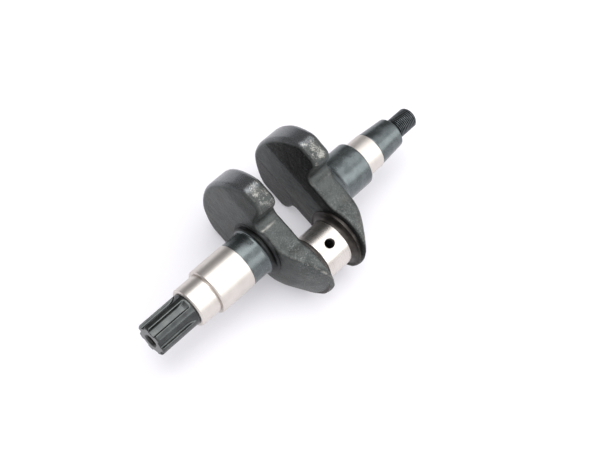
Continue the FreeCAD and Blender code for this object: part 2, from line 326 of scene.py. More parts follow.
def net_quads(inside, index):
    """Quads round every grid edge that the surface crosses, wound to face outwards."""
    quads = []
    for axis in range(3):
        u, v = (axis + 1) % 3, (axis + 2) % 3
        first = [slice(None)] * 3
        last = [slice(None)] * 3
        first[axis] = slice(0, -1)
        last[axis] = slice(1, None)
        a = inside[tuple(first)]
        b = inside[tuple(last)]
        for hit, outward in ((a & ~b, True), (~a & b, False)):
            spots = np.argwhere(hit)
            keep = (spots[:, u] > 0) & (spots[:, v] > 0)
            keep &= (spots[:, u] < index.shape[u]) & (spots[:, v] < index.shape[v])
            spots = spots[keep]
            ring = []
            for du, dv in ((1, 1), (0, 1), (0, 0), (1, 0)):
                at = spots.copy()
                at[:, u] -= du
                at[:, v] -= dv
                ring.append(index[tuple(at.T)])
            if not outward:
                ring.reverse()
            quads.append(np.column_stack(ring))
    return np.vstack(quads)


def surface_net(field, low, high, cell):
    """Vertices on the zero surface of field and the quads that join them, facing outwards."""
    axes = [np.arange(a, b + cell, cell) for a, b in zip(low, high)]
    value = field(*np.meshgrid(*axes, indexing="ij"))
    inside = value < 0
    ni, nj, nk = (n - 1 for n in value.shape)
    count = sum(inside[i:i + ni, j:j + nj, k:k + nk].astype(np.int8) for i, j, k in CUBE)
    cells = np.argwhere((count > 0) & (count < 8))
    index = np.full((ni, nj, nk), -1)
    index[tuple(cells.T)] = np.arange(len(cells))
    points = net_points(value, cells) * cell + np.array(low)
    return points, net_quads(inside, index)


def settle(field, points, rounds=3, eps=0.05):
    """Moves points onto the zero surface of field along its slope."""
    for _ in range(rounds):
        value = field(*points.T)
        slope = field_slope(field, points, eps)
        size = np.maximum((slope ** 2).sum(1), 0.2)
        points = points - slope * (value / size)[:, None]
    return points


def field_slope(field, points, eps=0.05):
    parts = []
    for axis in range(3):
        step = np.zeros(3)
        step[axis] = eps
        parts.append((field(*(points + step).T) - field(*(points - step).T)) / (2 * eps))
    return np.column_stack(parts)


# ---------------------------------------------------------------------------
# Web and counterweight forgings
# ---------------------------------------------------------------------------
def arc_yz(cy, cz, r, a0, a1, steps=14):
    angles = np.radians(np.linspace(a0, a1, steps + 1))
    return [(cy + r * math.cos(a), cz + r * math.sin(a)) for a in angles]


def half_outline(step_y):
    """Outline of web and counterweight on one side, from the nose to the rim."""
    cut_y = -(NOSE_TURNED_R ** 2 + THROW ** 2 - NOSE_R ** 2) / (2 * THROW)
    cut_z = math.sqrt(NOSE_TURNED_R ** 2 - cut_y ** 2)
    tip_a = math.degrees(math.atan2(cut_z, cut_y))
    nose_a0 = math.degrees(math.atan2(cut_z, cut_y + THROW))
    fc_z = WAIST_HALF + NECK_FILLET
    fc_y = -THROW + math.sqrt((NOSE_R + NECK_FILLET) ** 2 - fc_z ** 2)
    nose_a1 = math.degrees(math.atan2(fc_z, fc_y + THROW))
    cc_z = CW_HALF - CW_CORNER_R
    cc_y = math.sqrt((CW_R - CW_CORNER_R) ** 2 - cc_z ** 2)
    rim_a = math.degrees(math.atan2(cc_z, cc_y))
    heel_y = step_y + HEEL_SET + CW_HEEL_R
    heel_z = CW_HALF - CW_HEEL_R
    path = arc_yz(0, 0, NOSE_TURNED_R, 180, tip_a)
    path += arc_yz(-THROW, 0, NOSE_R, nose_a0, nose_a1)[1:]
    path += arc_yz(fc_y, fc_z, NECK_FILLET, 180 + nose_a1, 270)[1:]
    lip_a = -math.degrees(math.acos(1 - VALLEY_DIP / STEP_FILLET))
    valley_z = WAIST_HALF + STEP_FILLET - VALLEY_DIP
    path += arc_yz(step_y - STEP_FILLET, valley_z, STEP_FILLET, -90 + lip_a, 0)
    path += arc_yz(heel_y, heel_z, CW_HEEL_R, 180, 90)
    path += arc_yz(cc_y, cc_z, CW_CORNER_R, 90, rim_a)
    path += arc_yz(0, 0, CW_R, rim_a, 0, 24)[1:]
    return path


def ring_distance(y, z, ring):
    """Signed distance from points of a plane to a closed ring, negative inside."""
    best = np.full(y.shape, 1e9)
    inside = np.zeros(y.shape, bool)
    for (ay, az), (by, bz) in zip(ring, ring[1:] + ring[:1]):
        ey, ez = by - ay, bz - az
        length = ey * ey + ez * ez
        if length < 1e-12:
            continue
        t = np.clip(((y - ay) * ey + (z - az) * ez) / length, 0, 1)
        best = np.minimum(best, (y - ay - t * ey) ** 2 + (z - az - t * ez) ** 2)
        if az != bz:
            side = (az > z) != (bz > z)
            inside ^= side & (y < ey * (z - az) / ez + ay)
    return np.where(inside, -1, 1) * np.sqrt(best)


class Table:
    """A plane field sampled once on a fine grid and read back between its points."""

    def __init__(self, ring, low, high, pitch):
        self.low = low
        self.pitch = pitch
        ys = np.arange(low[0], high[0], pitch)
        zs = np.arange(low[1], high[1], pitch)
        self.value = ring_distance(*np.meshgrid(ys, zs, indexing="ij"), ring)

    def __call__(self, y, z):
        fy = (y - self.low[0]) / self.pitch
        fz = (z - self.low[1]) / self.pitch
        iy = np.clip(fy.astype(int), 0, self.value.shape[0] - 2)
        iz = np.clip(fz.astype(int), 0, self.value.shape[1] - 2)
        ty = fy - iy
        tz = fz - iz
        v = self.value
        near = v[iy, iz] * (1 - ty) + v[iy + 1, iz] * ty
        far = v[iy, iz + 1] * (1 - ty) + v[iy + 1, iz + 1] * ty
        return near * (1 - tz) + far * tz


def web_outline():
    upper = half_outline(STEP_Y_UPPER)
    lower = [(y, -z) for y, z in half_outline(STEP_Y_LOWER)]
    return Table(upper + lower[::-1][1:], (-62, -48), (60, 48), 0.25)


OUTLINE = web_outline()


def bevel(u, z, u0, z0, u1, z1):
    """Distance outside the plane through (u0, z0) and (u1, z1), on both sides of z = 0."""
    du, dz = u1 - u0, z1 - z0
    return ((u - u0) * dz - (np.abs(z) - z0) * du) / math.hypot(du, dz)


def throw_parts(u, y, z):
    """The bounding surfaces of a web, u outwards from the pin mid-plane."""
    r = np.hypot(y, z)
    heavy = smooth_step(FACE_STEP_FROM, FACE_STEP_TO, y)
    outer_flat = u - (D_WEB_OUTER + (D_CW_OUTER - D_WEB_OUTER) * heavy)
    outer_bevel = bevel(u, z, D_CW_OUTER, PLATEAU_OUT, FLANK_OUT, FLANK_EDGE_Z)
    inner_flat = D_INNER - u
    inner_bevel = -bevel(u, z, D_INNER, PLATEAU_IN, FLANK_IN, FLANK_EDGE_Z)
    cone = (u - D_WEB_OUTER + CONE_SLOPE * (r - CONE_START_R)) / math.hypot(1, CONE_SLOPE)
    cone = np.where(y < STEP_Y_LOWER, cone, -30.0)
    outer = round_max(outer_flat, outer_bevel, 0.5)
    inner = round_max(inner_flat, inner_bevel, 0.5)
    return OUTLINE(y, z), outer, inner, cone


def throw_field(u, y, z):
    edge, outer, inner, cone = throw_parts(u, y, z)
    rim = smooth_step(26.0, 40.0, np.hypot(y, z)) * (y > 0)
    radius = FORGED_ROUND + (RIM_ROUND - FORGED_ROUND) * rim
    tip = smooth_step(TIP_FROM, TIP_TO, y)
    outer = round_max(outer, cone, CONE_BLEND + (CONE_ROUND - CONE_BLEND) * tip)
    radius = radius + (NOSE_ROUND - radius) * tip
    body = round_max(edge, outer, np.maximum(radius, CONE_ROUND * (1 - tip)))
    return round_max(body, inner, radius)


GALLERY_SLOPE = THROW / (PIN_MID - GALLERY_START_X)
GALLERY_DIR = np.array([1.0, -GALLERY_SLOPE]) / math.hypot(1, GALLERY_SLOPE)


def flywheel_throw_field(u, y, z):
    """The flywheel web also has the bore that the oil gallery plug sits in."""
    x = u + PIN_MID - GALLERY_START_X
    across = np.hypot(x * GALLERY_DIR[1] - y * GALLERY_DIR[0], z)
    bore = np.maximum(across - PLUG_R, PLUG_INNER_X - (x + GALLERY_START_X))
    return round_max(throw_field(u, y, z), -bore, 0.5)


def noise_at(points, scale, seed, octaves=3):
    """Fractal noise about -1..1 at crank-frame points; scale is the size of a lump in mm."""
    shift = Vector((seed, seed * 1.7, seed * 2.3))
    return np.array([
        noise.fractal(Vector(p) / scale + shift, 1.0, 2.1, octaves) for p in points
    ])


def bare_mask(points, y, z, u, edge, cone, seed):
    """Metal rubbed bare on the heels of the counterweight and on the shoulders of the nose."""
    top = smooth_step(-2.2, -0.6, edge)
    middle = smooth_step(D_INNER + 2.0, D_INNER + 6.0, u)
    middle *= 1 - smooth_step(D_CW_OUTER - 6.5, D_CW_OUTER - 3.0, u)
    heel = smooth_step(CW_HALF - 9.0, CW_HALF - 3.0, np.abs(z)) * smooth_step(12.0, 17.0, y)
    heel *= 1 - smooth_step(30.0, 42.0, y)
    nose = smooth_step(-1.2, -0.4, cone) * smooth_step(-2.5, -0.8, edge)
    nose *= smooth_step(-18.0, -30.0, y) * smooth_step(-58.0, -50.0, y)
    wave = noise_at(points, BARE_PATCH, seed)
    bare = np.clip(top * middle * heel * (0.55 + 0.9 * wave), 0, 1)
    return np.maximum(bare, np.clip(nose * (0.42 + 1.2 * wave), 0, 1))


def turned_mask(y, z, outer):
    """Rim and nose, which are turned about the main axis, and a trace on the outer face."""
    r = np.hypot(y, z)
    rim = smooth_step(CW_R - 2.6, CW_R - 0.8, r) * (y > 0)
    rim = np.maximum(rim, smooth_step(NOSE_TURNED_R - 2.0, NOSE_TURNED_R - 0.6, r))
    face = smooth_step(-0.7, -0.1, outer) * smooth_step(2.0, 5.0, y)
    face *= 1 - smooth_step(PLATEAU_OUT - 2.0, PLATEAU_OUT + 1.0, np.abs(z))
    return np.maximum(rim, 0.08 * face)


def painted_shade_mask(y, z, outer, inner):
    """Painted shade on the bevelled flanks: full strength on the inner ones, part strength on the outer
    ones of the counterweight.
    """
    inner_bevel = smooth_step(-0.5, -0.05, inner)
    inner_bevel *= smooth_step(PLATEAU_IN - 0.3, PLATEAU_IN + 0.5, np.abs(z))
    outer_bevel = smooth_step(-0.6, -0.1, outer)
    outer_bevel *= smooth_step(PLATEAU_OUT - 0.4, PLATEAU_OUT + 0.6, np.abs(z))
    return np.maximum(inner_bevel, 0.40 * outer_bevel * (y > 0))


def grit_mask(y, edge, cone):
    """Blasted, speckled skin: strongest on the edges and cone of the pin end."""
    grit = np.maximum(smooth_step(-1.6, -0.4, edge), smooth_step(-0.9, -0.2, cone) * (y < -12))
    return grit * (1 - 0.6 * smooth_step(-22.0, -4.0, y) - 0.4 * smooth_step(4.0, 12.0, y))


def painted_highlight_mask(u, y, z, edge, cone, highlight_level):
    """Painted highlights: a light line along the crease where the step meets the waist, and along the
    upper ridge of the nose, on its upper side only.
    """
    crease_y = STEP_Y_UPPER - STEP_FILLET
    crease_y -= math.sqrt(STEP_FILLET ** 2 - (STEP_FILLET - VALLEY_DIP) ** 2)
    crease = np.exp(-((y - crease_y) ** 2 + (z - WAIST_HALF) ** 2) / 0.7)
    crease *= smooth_step(20.0, 25.0, u)
    ridge = smooth_step(-0.9, -0.2, cone) * smooth_step(-1.0, -0.3, edge)
    ridge *= smooth_step(-16.0, -24.0, y)
    return np.maximum(highlight_level * crease, 0.7 * ridge * (z > 0))


def web_attributes(points, u, y, z, parts, seed, highlight_level):
    """Masks for the forging material, one value for each vertex."""
    edge, outer, inner, cone = parts
    raw = np.maximum.reduce([edge, outer, inner, cone])
    return {
        "bare": bare_mask(points, y, z, u, edge, cone, seed),
        "worn": np.clip(-raw / 0.7, 0, 1) * smooth_step(-1.5, -0.3, edge),
        "turned": turned_mask(y, z, outer),
        # the "scale" attribute carries painted shade on the bevelled flanks
        "scale": painted_shade_mask(y, z, outer, inner),
        "grit": grit_mask(y, edge, cone),
        # the "rubbed" attribute carries painted highlight lines
        "rubbed": painted_highlight_mask(u, y, z, edge, cone, highlight_level),
    }


def add_attributes(obj, values):
    for key, data in values.items():
        layer = obj.data.attributes.new(key, "FLOAT", "POINT")
        layer.data.foreach_set("value", np.asarray(data, dtype=np.float32))


def forged_lumps(points, y, z, inner, masks, seed):
    """Height of the forged skin above or below its true surface, calm where it is turned."""
    calm = 1 - 0.85 * masks["turned"]
    collar_seat = smooth_step(-0.5, -0.05, inner) * (np.hypot(y + THROW, z) < COLLAR_R + 1)
    lumps = SKIN_WAVE * noise_at(points, 11.0, seed + 3, 2)
    lumps += SKIN_GRAIN * noise_at(points, 2.6, seed + 5, 2)
    lumps -= SKIN_CHIP * masks["bare"] * np.abs(noise_at(points, 1.5, seed + 7, 2))
    return (lumps - SKIN_SET_BACK) * calm * (1 - collar_seat)


def forged_throw(name, field, side, seed, highlight_level):
    """Web and counterweight in one skin.  side is -1 towards the output, +1 to the flywheel."""
    points, quads = surface_net(field, WEB_LOW, WEB_HIGH, WEB_CELL)
    points = settle(field, points)
    u, y, z = points.T
    parts = throw_parts(u, y, z)
    masks = web_attributes(points, u, y, z, parts, seed, highlight_level)
    slope = field_slope(field, points)
    slope /= np.maximum(np.linalg.norm(slope, axis=1), 1e-6)[:, None]
    points = points + slope * forged_lumps(points, y, z, parts[2], masks, seed)[:, None]
    world = points.copy()
    world[:, 0] = PIN_MID + side * points[:, 0]
    if side < 0:
        quads = quads[:, ::-1]
    obj = add_mesh(name, world, quads.tolist(), 60.0)
    add_attributes(obj, masks)
    return obj


# ---------------------------------------------------------------------------
# Turned and cut pieces
# ---------------------------------------------------------------------------
def crankpin():
    """Ground pin with its countersunk oil hole drilled into the skin."""
    half = PIN_GROUND_HALF
    obj = lathe("crankpin_ground", [
        (PIN_MID - half, 0.0),
        (PIN_MID - half, PIN_R),
        (PIN_MID - half + 0.4, PIN_R),
        (PIN_MID + half - 0.4, PIN_R),
        (PIN_MID + half, PIN_R),
        (PIN_MID + half, 0.0),
    ], centre_y=-THROW)
    drill = lathe("pin_drill", [
        (-PIN_R, 0.0),
        (-PIN_R, OIL_HOLE_R),
        (-OIL_SINK_DEPTH, OIL_HOLE_R),
        (OIL_DRILL_PROUD, OIL_HOLE_R + OIL_SINK_DEPTH + OIL_DRILL_PROUD),
        (OIL_DRILL_PROUD, 0.0),
    ], steps=48)
    axis = Matrix.Translation((PIN_MID * MM, -THROW * MM, 0))
    lean = Matrix.Rotation(-math.radians(OIL_HOLE_TILT), 4, "X")
    stand = Matrix.Translation((0, 0, PIN_R * MM)) @ Matrix.Rotation(-math.pi / 2, 4, "Y")
    drill.data.transform(CRANK @ axis @ lean @ stand @ CRANK.inverted())
    cut = obj.modifiers.new("oil_hole", "BOOLEAN")
    cut.operation = "DIFFERENCE"
    cut.solver = "EXACT"
    cut.object = drill
    bpy.context.view_layer.update()
    graph = bpy.context.evaluated_depsgraph_get()
    drilled = bpy.data.meshes.new_from_object(obj.evaluated_get(graph))
    obj.modifiers.clear()
    obj.data = drilled
    bpy.data.objects.remove(drill)
    radial_normals(obj, PIN_R, -THROW)
    return obj


def radial_normals(obj, radius, centre_y):
    """Gives the skin of the drilled pin its true normals, and the hole the second material, which
    paints shade into it.
    """
    mesh = obj.data
    mesh.shade_smooth()
    mesh.set_sharp_from_angle(angle=math.radians(25))
    centre = CRANK @ Vector((PIN_MID * MM, centre_y * MM, 0))
    normals = [Vector(n.vector) for n in mesh.corner_normals]
    bore_depth = (radius - 0.7 * OIL_SINK_DEPTH) * MM
    for poly in mesh.polygons:
        spokes = []
        for vi in poly.vertices:
            spoke = mesh.vertices[vi].co - centre
            spoke.x = 0
            spokes.append(spoke)
        on_skin = all(abs(s.length - radius * MM) < 0.02 * MM for s in spokes)
        if on_skin and abs(poly.normal.x) < 0.5:
            for li, spoke in zip(poly.loop_indices, spokes):
                normals[li] = spoke.normalized()
        elif min(s.length for s in spokes) < bore_depth and abs(poly.center.x - centre.x) < 4 * MM:
            poly.material_index = 1
    mesh.normals_split_custom_set(normals)


def collar(name, side):
    """Turned thrust face and the fillet that runs into the pin."""
    d = [
        (D_INNER + 3.0, 0.0),
        (D_INNER + 3.0, COLLAR_R),
        (D_COLLAR, COLLAR_R),
        (D_COLLAR, PIN_R + PIN_FILLET + 0.9),
        (D_COLLAR + 0.15, PIN_R + PIN_FILLET + 0.7),
        (D_COLLAR + 0.15, PIN_R + PIN_FILLET),
    ]
    fillet = arc(PIN_GROUND_HALF, PIN_R + PIN_FILLET, PIN_FILLET, 0, -90, 10)
    profile = softened(d, 0.3) + fillet + [(PIN_GROUND_HALF, 0.0)]
    profile = [(PIN_MID + side * x, r) for x, r in profile]
    if side > 0:
        profile.reverse()
    return lathe(name, profile, centre_y=-THROW)


def drive_boss():
    """Turned boss: a groove on the counterweight side that runs out into a cone towards the pin."""
    web = D_WEB_OUTER - BOSS_SEAT_DEPTH
    lip = D_BOSS - BOSS_LIP_L
    floor = lip - BOSS_GROOVE_W
    d = [
        (D_BOSS, 0.0),
        (D_BOSS, BOSS_LIP_R - BOSS_BREAK),
        (D_BOSS - BOSS_BREAK, BOSS_LIP_R),
        (lip, BOSS_LIP_R),
        (lip, BOSS_GROOVE_R),
        (floor, BOSS_GROOVE_R),
        (floor, BOSS_R - BOSS_BREAK),
        (floor - BOSS_BREAK, BOSS_R),
        (web, BOSS_R),
        (web, 0.0),
    ]
    profile = [(PIN_MID - x, r) for x, r in softened(d, 0.35)]
    obj = lathe("drive_boss_turned", profile)
    back = CRANK.inverted()
    for vert in obj.data.vertices:
        x, y, z = (back @ vert.co) / MM
        scale = boss_run_out(PIN_MID - x, y, z)
        vert.co = CRANK @ Vector((x * MM, y * scale * MM, z * scale * MM))
    return obj


def boss_run_out(depth, y, z):
    """How much a point of the grooved boss moves in or out to lie on the cone."""
    r = math.hypot(y, z)
    if r < BOSS_GROOVE_R - 0.6 or depth < D_WEB_OUTER:
        return 1.0
    slope = (D_BOSS - depth) / (D_BOSS - D_WEB_OUTER)
    cone = SHANK_R + 1.0 + (BOSS_R - SHANK_R - 1.0) * slope
    turn = math.degrees(math.atan2(-y, z)) % 360
    fade = float(smooth_step(BOSS_FADE_FROM, BOSS_FADE_TO, turn))
    fade *= 1 - float(smooth_step(BOSS_BACK_FROM, BOSS_BACK_TO, turn))
    return (r + (cone - r) * fade) / r


def boss_sweep(edge, first, last, steps):
    """Stretch of the hollow run between the flywheel shank and its web, in degrees."""
    return arc(edge + BOSS_SWEEP_L, FLY_SHANK_R + BOSS_SWEEP_R, BOSS_SWEEP_R, first, last, steps)


def flywheel_boss():
    """Hollow run from the shank out to the web."""
    web = D_WEB_OUTER - BOSS_SEAT_DEPTH
    profile = [(D_BOSS, 0.0)]
    profile += boss_sweep(D_BOSS, BOSS_SWEEP_JOIN, BOSS_SWEEP_WEB, 10)
    profile += [(web, BOSS_R + 0.6), (web, 0.0)]
    profile = [(PIN_MID + x, r) for x, r in profile]
    profile.reverse()
    return lathe("flywheel_boss_turned", profile)


def seal_seat():
    return lathe("seal_seat_ground", softened([
        (SEAL_START, 0.0),
        (SEAL_START, SEAL_R - 1.0),
        (SEAL_START + 1.0, SEAL_R),
        (-0.9, SEAL_R),
        (-0.9, SEAL_R - 0.5),
        (0.05, SEAL_R - 0.5),
        (0.05, 0.0),
    ], 0.22))


def bearing_seat():
    return lathe("drive_bearing_seat_ground", softened([
        (0.0, 0.0),
        (0.0, SEAT_R - 0.8),
        (0.8, SEAT_R),
        (SEAT_END, SEAT_R),
        (SEAT_END, 0.0),
    ], 0.22))


def drive_shank():
    edge = PIN_MID - D_BOSS
    return lathe("drive_shank_black", softened([
        (SEAT_END - 0.1, 0.0),
        (SEAT_END - 0.1, SHANK_R),
        (edge - 1.2, SHANK_R),
        (edge - 0.3, SHANK_R + 0.4),
        (edge + 0.1, SHANK_R + 1.2),
        (edge + 0.1, 0.0),
    ], 0.15))


def flywheel_shank():
    edge = PIN_MID + D_BOSS
    nose = FLY_SHANK_END - FLY_SHANK_ROUND
    profile = [(edge, 0.0)]
    profile += boss_sweep(edge, BOSS_SWEEP_JOIN, -90, 4)
    profile.append((nose - FLY_SHANK_ROUND, FLY_SHANK_R))
    profile += arc(nose, FLY_SHANK_R - FLY_SHANK_ROUND, FLY_SHANK_ROUND, 90, 0, 8)
    profile.append((FLY_SHANK_END, 0.0))
    return lathe("flywheel_shank_black", profile)


def flywheel_seat():
    return lathe("flywheel_seal_seat_ground", softened([
        (FLY_SHANK_END - 0.1, 0.0),
        (FLY_SHANK_END - 0.1, FLY_SEAT_R - 0.3),
        (FLY_SHANK_END + 1.2, FLY_SEAT_R - 0.3),
        (FLY_SHANK_END + 1.2, FLY_SEAT_R),
        (FLY_SEAT_END, FLY_SEAT_R),
        (FLY_SEAT_END, 0.0),
    ], 0.15))


def taper_field(x, y, z):
    """Taper with a disc keyway on its lower side."""
    r = np.hypot(y, z)
    t = (x - FLY_SEAT_END) / (TAPER_END - FLY_SEAT_END)
    cone = r - (TAPER_R + (TAPER_SMALL_R - TAPER_R) * t)
    ends = np.maximum(FLY_SEAT_END - x, x - TAPER_END)
    body = round_max(cone, ends, 0.9)
    surface = (TAPER_R + TAPER_SMALL_R) / 2
    middle = (FLY_SEAT_END + TAPER_END) / 2
    disc = np.hypot(x - middle, z + surface - KEY_DEPTH + KEY_DISC_R) - KEY_DISC_R
    return round_max(body, -np.maximum(disc, np.abs(y) - KEY_HALF_W), 0.25)


def flywheel_taper():
    low = (FLY_SEAT_END - 1.2, -15, -15)
    high = (TAPER_END + 1.2, 15, 15)
    points, quads = surface_net(taper_field, low, high, SPLINE_CELL)
    points = settle(taper_field, points)
    return add_mesh("flywheel_taper_black", points, quads.tolist(), 50.0)


def spline_field(x, y, z):
    """Straight-sided spline: round core with run-outs, teeth, chamfered end and centre hole."""
    r = np.hypot(y, z)
    run_x = SEAL_START - 1.5 - SPLINE_RUNOUT
    rise = np.clip((x - run_x) / SPLINE_RUNOUT, 0, 1.3)
    core = r - (SPLINE_ROOT_R + (SPLINE_R - SPLINE_ROOT_R) * rise ** 2)
    flank = np.full_like(r, 1e3)
    for i in range(SPLINE_TEETH):
        a = 2 * math.pi * i / SPLINE_TEETH + math.radians(SPLINE_TURN)
        across = np.abs(y * math.cos(a) + z * math.sin(a)) - SPLINE_TOOTH_W / 2
        flank = np.minimum(flank, np.maximum(across, y * math.sin(a) - z * math.cos(a)))
    teeth = -round_max(-core, -flank, SPLINE_ROOT_ROUND)
    body = round_max(teeth, r - SPLINE_R, 0.3)
    chamfer = (SPLINE_END - x + r - SPLINE_R + 1.0) / math.sqrt(2)
    ends = np.maximum(SPLINE_END - x, x - SEAL_START)
    body = round_max(body, np.maximum(ends, chamfer), 0.25)
    hole = np.maximum(r - CENTRE_HOLE_R, x - SPLINE_END - CENTRE_DEPTH)
    sink = (r - CENTRE_SINK_R + x - SPLINE_END) / math.sqrt(2)
    return round_max(body, -np.minimum(hole, sink), 0.25)


def spline_stub():
    """Splined end; the faces of its centre hole and countersink take the second material, painted
    shade.
    """
    low = (SPLINE_END - 1.2, -13.8, -13.8)
    high = (SEAL_START + 1.2, 13.8, 13.8)
    points, quads = surface_net(spline_field, low, high, SPLINE_CELL)
    points = settle(spline_field, points)
    obj = add_mesh("spline_stub_black", points, quads.tolist(), 50.0)
    middles = points[quads].mean(axis=1)
    in_hole = np.hypot(middles[:, 1], middles[:, 2]) < CENTRE_SINK_R - 0.1
    in_hole &= middles[:, 0] > SPLINE_END + 0.2
    in_hole &= middles[:, 0] < SPLINE_END + CENTRE_DEPTH + 1.0
    obj.data.polygons.foreach_set("material_index", in_hole.astype(np.int32))
    return obj


def thread_radius(x, turn):
    """Radius of the flywheel thread at station x and turn fraction (one start, right-handed)."""
    start = TAPER_END + THREAD_NECK_L
    phase = (x - start) / THREAD_PITCH - turn
    rise = 1 - 2 * abs((phase % 1.0) - 0.5)
    rise = min(max((rise - THREAD_ROOT_FLAT) / THREAD_FLANK, 0.0), 1.0)
    lead_in = min(max(x - start, 0.0), 1.0)
    cut = THREAD_R - THREAD_DEPTH * (1 - rise)
    r = THREAD_NECK_R + (cut - THREAD_NECK_R) * lead_in
    return min(r, THREAD_R - THREAD_CHAMFER + THREAD_END - x)


def flywheel_thread():
    steps = 96
    rows = int((THREAD_END - TAPER_END) / THREAD_PITCH * 12)
    xs = [TAPER_END - 0.1 + (THREAD_END - TAPER_END + 0.1) * i / rows for i in range(rows + 1)]
    points = [(xs[0], 0.0, 0.0)]
    for x in xs:
        for k in range(steps):
            a = 2 * math.pi * k / steps
            r = thread_radius(x, k / steps)
            points.append((x, r * math.cos(a), r * math.sin(a)))
    points.append((xs[-1], 0.0, 0.0))
    faces = []
    for k in range(steps):
        n = (k + 1) % steps
        faces.append((0, 1 + n, 1 + k))
        for i in range(rows):
            a = 1 + i * steps
            faces.append((a + k, a + n, a + steps + n, a + steps + k))
        end = 1 + rows * steps
        faces.append((end + k, end + n, len(points) - 1))
    obj = add_mesh("flywheel_thread_black", points, faces)
    height = [(math.hypot(y, z) - THREAD_NECK_R) / (THREAD_R - THREAD_NECK_R) for _, y, z in points]
    add_attributes(obj, {"crest": height})
    return obj


def gallery_plug():
    """Pressed cup plug with a shallow dish, on the oil gallery line."""
    lo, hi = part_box("oil_gallery_plug")
    centre = (lo + hi) / 2
    obj = lathe("oil_gallery_plug_cup", softened([
        (-2.4, 0.0),
        (-2.4, PLUG_R - 0.5),
        (-1.9, PLUG_R),
        (1.9, PLUG_R),
        (2.4, PLUG_R - 0.5),
        (2.4, PLUG_R - 1.1),
        (1.4, PLUG_R - 1.7),
        (1.4, 0.0),
    ], 0.2), steps=64)
    turn = Matrix.Rotation(LIE, 4, "X") @ Matrix.Rotation(-math.atan(GALLERY_SLOPE), 4, "Z")
    obj.data.transform(Matrix.Translation(centre) @ turn @ CRANK.inverted())
    return obj


# ---------------------------------------------------------------------------
# Materials
# ---------------------------------------------------------------------------
class Nodes:
    """Short calls for building one material's node tree, in the part's own coordinates."""

    def __init__(self, name):
        self.material = bpy.data.materials.new(name)
        self.material.use_nodes = True
        self.tree = self.material.node_tree
        self.tree.nodes.clear()
        self.shader = self.tree.nodes.new("ShaderNodeBsdfPrincipled")
        out = self.tree.nodes.new("ShaderNodeOutputMaterial")
        self.tree.links.new(self.shader.outputs[0], out.inputs["Surface"])
        coords = self.tree.nodes.new("ShaderNodeTexCoord")
        self.coords = coords.outputs["Object"]

    def link(self, source, target):
        if isinstance(source, (int, float, tuple)):
            target.default_value = source
        else:
            self.tree.links.new(source, target)

    def mapped(self, scale, turn=(0, 0, 0)):
        node = self.tree.nodes.new("ShaderNodeMapping")
        node.inputs["Scale"].default_value = scale
        node.inputs["Rotation"].default_value = turn
        self.link(self.coords, node.inputs["Vector"])
        return node.outputs[0]

    def noise(self, size_mm, detail=3.0, rough=0.5, vector=None):
        node = self.tree.nodes.new("ShaderNodeTexNoise")
        node.inputs["Scale"].default_value = 1.0 / (size_mm * MM)
        node.inputs["Detail"].default_value = detail
        node.inputs["Roughness"].default_value = rough
        self.link(vector or self.coords, node.inputs["Vector"])
        return node.outputs["Fac"]

    def math(self, kind, a, b=0.0, clamp=False):
        node = self.tree.nodes.new("ShaderNodeMath")
        node.operation = kind
        node.use_clamp = clamp
        self.link(a, node.inputs[0])
        self.link(b, node.inputs[1])
        return node.outputs[0]

    def ramp(self, value, lo, hi, out_lo=0.0, out_hi=1.0):
        node = self.tree.nodes.new("ShaderNodeMapRange")
        node.inputs["From Min"].default_value = lo
        node.inputs["From Max"].default_value = hi
        node.inputs["To Min"].default_value = out_lo
        node.inputs["To Max"].default_value = out_hi
        self.link(value, node.inputs["Value"])
        return node.outputs[0]

    def blend(self, factor, a, b):
        node = self.tree.nodes.new("ShaderNodeMix")
        node.data_type = "RGBA"
        self.link(factor, node.inputs[0])
        self.link(a, node.inputs[6])
        self.link(b, node.inputs[7])
        return node.outputs[2]

    def attribute(self, name):
        node = self.tree.nodes.new("ShaderNodeAttribute")
        node.attribute_name = name
        return node.outputs["Fac"]

    def bump(self, height, depth_mm, strength=1.0, below=None):
        node = self.tree.nodes.new("ShaderNodeBump")
        node.inputs["Strength"].default_value = strength
        node.inputs["Distance"].default_value = depth_mm * MM
        self.link(height, node.inputs["Height"])
        if below is not None:
            self.link(below, node.inputs["Normal"])
        return node.outputs[0]

    def set(self, **sockets):
        for key, value in sockets.items():
            self.link(value, self.shader.inputs[key.replace("_", " ")])
        return self.material


def rgb(r, g, b):
    return (r, g, b, 1.0)


FORGED_DARK = rgb(0.054, 0.060, 0.058)
FORGED_LIGHT = rgb(0.082, 0.090, 0.087)
FORGED_WARM = rgb(0.078, 0.073, 0.066)
FORGED_GLINT = rgb(0.17, 0.18, 0.17)
BLASTED = rgb(0.30, 0.31, 0.30)
TURNED_DARK = rgb(0.118, 0.125, 0.132)
# near-black: painted shade on the bevelled flanks of the webs, and also the dark tone of the turned
# drive boss
SCALE_AND_PAINTED_SHADE_DARK = rgb(0.020, 0.021, 0.021)
SCALE_LIGHT = rgb(0.042, 0.044, 0.045)
BARE_STEEL = rgb(0.40, 0.39, 0.36)
GROUND_STEEL = rgb(0.660, 0.622, 0.585)
GROUND_SHADE = rgb(0.590, 0.550, 0.512)
GROUND_STAIN = rgb(0.500, 0.455, 0.415)
OXIDE_DARK = rgb(0.102, 0.117, 0.120)
OXIDE_LIGHT = rgb(0.138, 0.157, 0.160)
SPLINE_DARK = rgb(0.060, 0.064, 0.064)
SPLINE_LIGHT = rgb(0.085, 0.092, 0.090)
THREAD_DARK = rgb(0.018, 0.021, 0.023)
THREAD_LIGHT = rgb(0.034, 0.038, 0.041)
THREAD_CREST = rgb(0.24, 0.26, 0.27)
TINT_DARK = rgb(0.040, 0.036, 0.033)
TINT_LIGHT = rgb(0.066, 0.060, 0.055)
BORE_SHADE_DARK = rgb(0.008, 0.008, 0.008)
BORE_SHADE_LIGHT = rgb(0.020, 0.018, 0.016)
